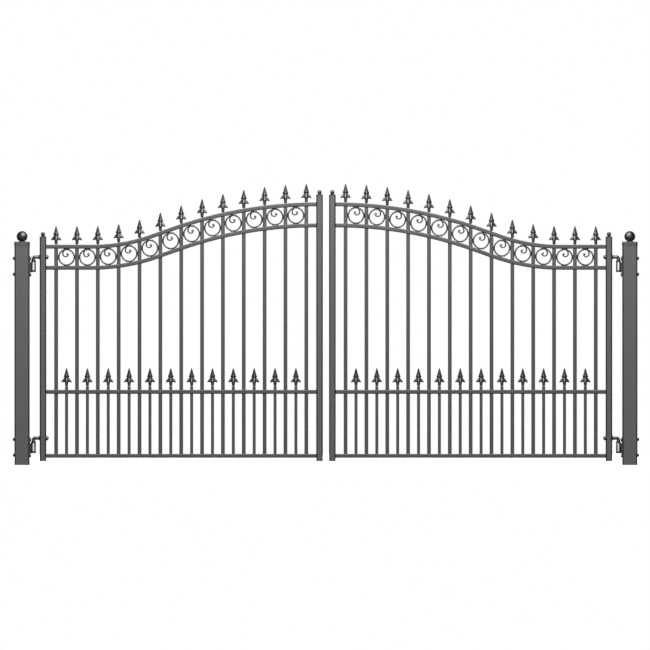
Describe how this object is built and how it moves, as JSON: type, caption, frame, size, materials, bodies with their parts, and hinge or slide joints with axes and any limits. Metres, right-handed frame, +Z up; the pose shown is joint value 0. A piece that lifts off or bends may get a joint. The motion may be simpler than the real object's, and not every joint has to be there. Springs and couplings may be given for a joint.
{
  "type": "double swing driveway gate",
  "caption": "Pair of wrought iron driveway gate leaves with an S-curved top, ring scrolls and spear finials, hinged between two square ball-capped posts.",
  "frame": {"origin": "centre of the left post's flat foot, on the ground", "axes": "+X from the left post to the right post, +Y inwards, away from the street, +Z up"},
  "size_m": [4.2416, 0.1042, 1.9039],
  "materials": {
    "post_paint": "satin powder coat",
    "frame_paint": "satin powder coat",
    "picket_paint": "satin powder coat",
    "cast_paint": "painted casting, slightly rough",
    "gloss_paint": "gloss enamel",
    "hardware": "semi-gloss enamel"
  },
  "bodies": {
    "posts": {"left_post": "post_paint", "right_post": "post_paint", "left_post_cap": "post_paint", "right_post_cap": "post_paint", "left_post_ball": "gloss_paint", "right_post_ball": "gloss_paint", "left_post_bolts": "hardware", "right_post_bolts": "hardware", "left_post_nuts": "hardware", "right_post_nuts": "hardware", "left_upper_bracket": "hardware", "right_upper_bracket": "hardware", "left_lower_bracket": "hardware", "right_lower_bracket": "hardware"},
    "left_leaf": {"left_hinge_stile": "frame_paint", "left_meeting_stile": "frame_paint", "left_stile_caps": "gloss_paint", "left_bottom_rail": "frame_paint", "left_mid_rail": "frame_paint", "left_arch_rail": "frame_paint", "left_top_rail": "frame_paint", "left_pickets": "picket_paint", "left_short_pickets": "picket_paint", "left_ring_scrolls": "cast_paint", "left_top_spears": "cast_paint", "left_short_spears": "cast_paint", "left_upper_hinge_rod": "hardware", "left_lower_hinge_rod": "hardware", "left_rod_nuts": "hardware"},
    "right_leaf": {"right_hinge_stile": "frame_paint", "right_meeting_stile": "frame_paint", "right_stile_caps": "gloss_paint", "right_bottom_rail": "frame_paint", "right_mid_rail": "frame_paint", "right_arch_rail": "frame_paint", "right_top_rail": "frame_paint", "right_pickets": "picket_paint", "right_short_pickets": "picket_paint", "right_ring_scrolls": "cast_paint", "right_top_spears": "cast_paint", "right_short_spears": "cast_paint", "right_upper_hinge_rod": "hardware", "right_lower_hinge_rod": "hardware", "right_rod_nuts": "hardware"}
  },
  "joints": [
    {"name": "left_leaf_swing", "type": "hinge", "parent": "posts", "child": "left_leaf", "pos_m": [0.0773, 0, 0.1], "axis": [0, 0, 1], "range_deg": [-90, 90]},
    {"name": "right_leaf_swing", "type": "hinge", "parent": "posts", "child": "right_leaf", "pos_m": [4.0367, 0, 0.1], "axis": [0, 0, -1], "range_deg": [-90, 90]}
  ]
}
